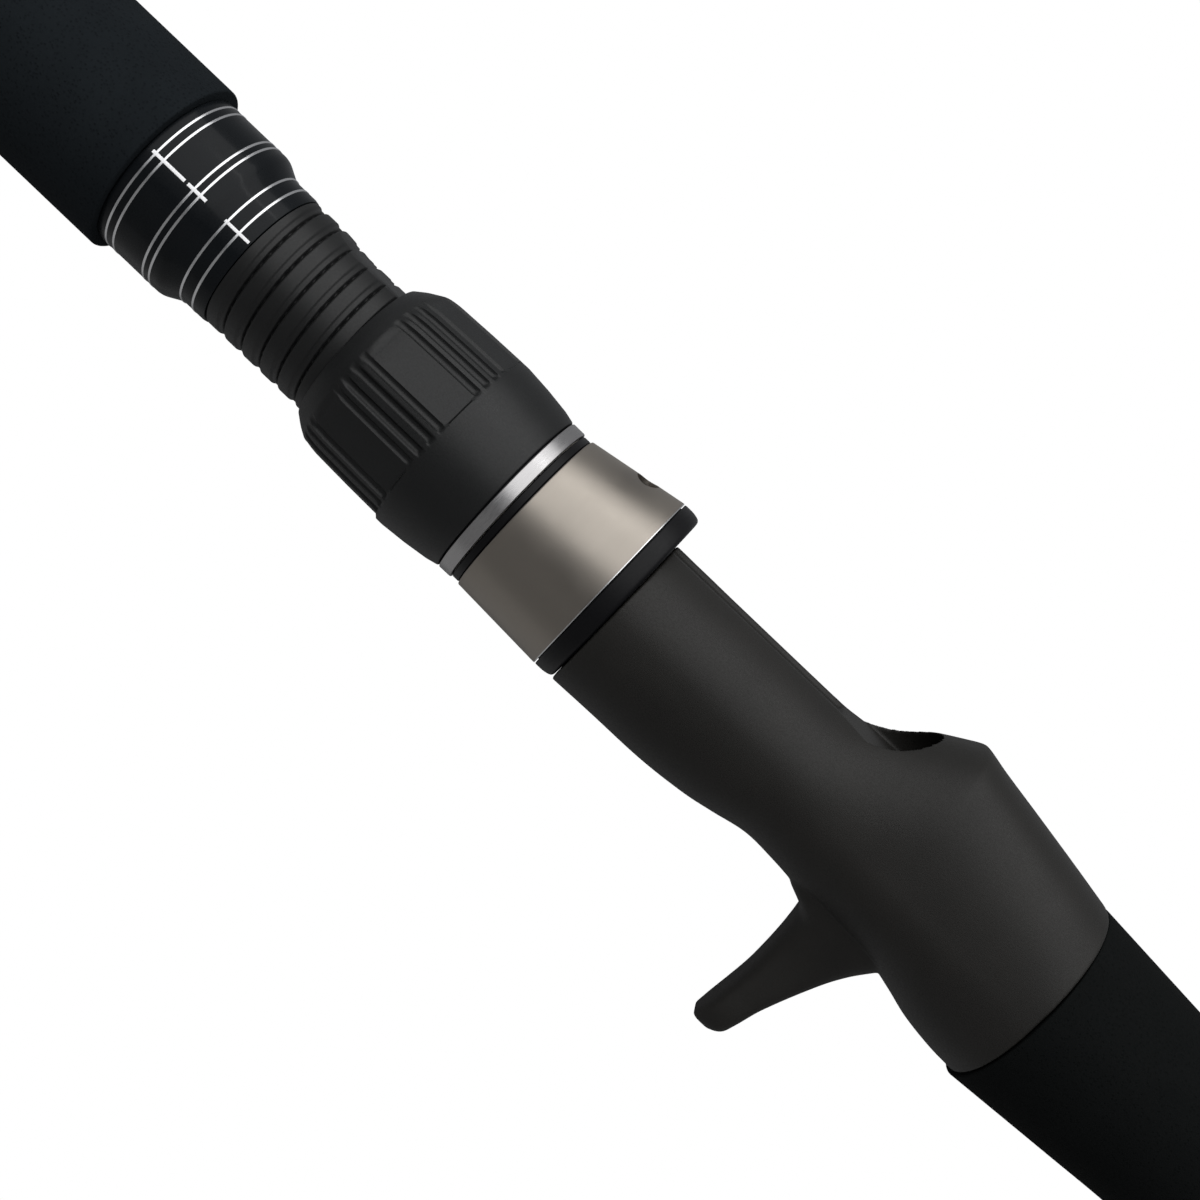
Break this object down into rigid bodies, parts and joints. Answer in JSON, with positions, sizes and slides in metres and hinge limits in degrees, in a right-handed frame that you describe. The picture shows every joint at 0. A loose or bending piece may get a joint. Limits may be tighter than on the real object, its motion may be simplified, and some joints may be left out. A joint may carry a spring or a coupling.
{
  "type": "telescopic casting fishing rod",
  "caption": "Casting rod stored closed: foam grips, trigger reel seat with screw-down hood, telescoping sections with ring guides, screw butt cap.",
  "frame": {"origin": "centre of the butt cap's flat rear face, on the rod's axis", "axes": "+X along the rod from tip to butt, out of the butt face; +Z towards the side that carries the reel and the guides; -Z is the trigger side"},
  "size_m": [0.544, 0.0292, 0.0569],
  "materials": {
    "foam_grip": "matte closed-cell foam",
    "gloss_black": "gloss epoxy",
    "silver_trim": "satin",
    "graphite_seat": "soft matte moulding",
    "nut_black": "satin moulding",
    "gunmetal": "satin anodised",
    "nylon": "plain moulding",
    "carbon_blank": "clear-coated carbon fibre",
    "thread_wrap": "thread under epoxy",
    "guide_steel": "dark plated",
    "guide_ceramic": "polished",
    "seal_rubber": "smooth",
    "black_aluminium": "black anodised"
  },
  "bodies": {
    "handle": {"reel_seat": "graphite_seat", "seat_arbor_front": "nylon", "seat_arbor_rear": "nylon", "rear_grip": "foam_grip", "butt_collar": "black_aluminium", "butt_section": "carbon_blank", "butt_wrap": "thread_wrap", "front_check": "gloss_black", "trim_ring_1": "silver_trim", "trim_ring_2": "silver_trim", "trim_ring_3": "silver_trim", "trim_ring_4": "silver_trim", "trim_ring_5": "silver_trim", "trim_ring_6": "silver_trim", "foregrip": "foam_grip", "foregrip_check": "black_aluminium", "guide_1_frame": "guide_steel", "guide_1_ring": "guide_ceramic"},
    "hood": {"hood_insert": "graphite_seat", "hood_sleeve": "gunmetal", "thrust_washer": "nylon"},
    "nut": {"lock_nut": "nut_black", "nut_trim_ring": "silver_trim"},
    "section_2": {"section_2_blank": "carbon_blank", "guide_2_frame": "guide_steel", "guide_2_ring": "guide_ceramic"},
    "section_3": {"section_3_blank": "carbon_blank", "guide_3_frame": "guide_steel", "guide_3_ring": "guide_ceramic"},
    "tip_section": {"tip_blank": "carbon_blank", "tip_top_frame": "guide_steel", "tip_top_ring": "guide_ceramic"},
    "float_guide": {"float_guide_frame": "guide_steel", "float_guide_ring": "guide_ceramic"},
    "cap_carrier": {"cap_seal": "seal_rubber"},
    "cap": {"butt_cap": "black_aluminium"}
  },
  "joints": [
    {"name": "hood_slide", "type": "slide", "parent": "handle", "child": "hood", "axis": [-1, 0, 0], "range_m": [0, 0.0155]},
    {"name": "nut_spin", "type": "hinge", "parent": "hood", "child": "nut", "pos_m": [-0.284, 0, 0], "axis": [-1, 0, 0], "range_deg": [0, 1810]},
    {"name": "section_2_slide", "type": "slide", "parent": "handle", "child": "section_2", "axis": [-1, 0, 0], "range_m": [0, 0.42]},
    {"name": "section_3_slide", "type": "slide", "parent": "section_2", "child": "section_3", "axis": [-1, 0, 0], "range_m": [0, 0.42]},
    {"name": "tip_slide", "type": "slide", "parent": "section_3", "child": "tip_section", "axis": [-1, 0, 0], "range_m": [0, 0.42]},
    {"name": "float_guide_slide", "type": "slide", "parent": "tip_section", "child": "float_guide", "axis": [1, 0, 0], "range_m": [0, 0.211]},
    {"name": "cap_slide", "type": "slide", "parent": "handle", "child": "cap_carrier", "axis": [1, 0, 0], "range_m": [0, 0.0075]},
    {"name": "cap_spin", "type": "hinge", "parent": "cap_carrier", "child": "cap", "pos_m": [-0.007, 0, 0], "axis": [1, 0, 0], "range_deg": [0, 1810]}
  ],
  "couplings": [
    {"joint": "nut_spin", "follows": "hood_slide", "rad_per_m": 2026.8},
    {"joint": "float_guide_slide", "follows": "tip_slide", "ratio": 0.5},
    {"joint": "cap_spin", "follows": "cap_slide", "rad_per_m": 4188.8}
  ]
}
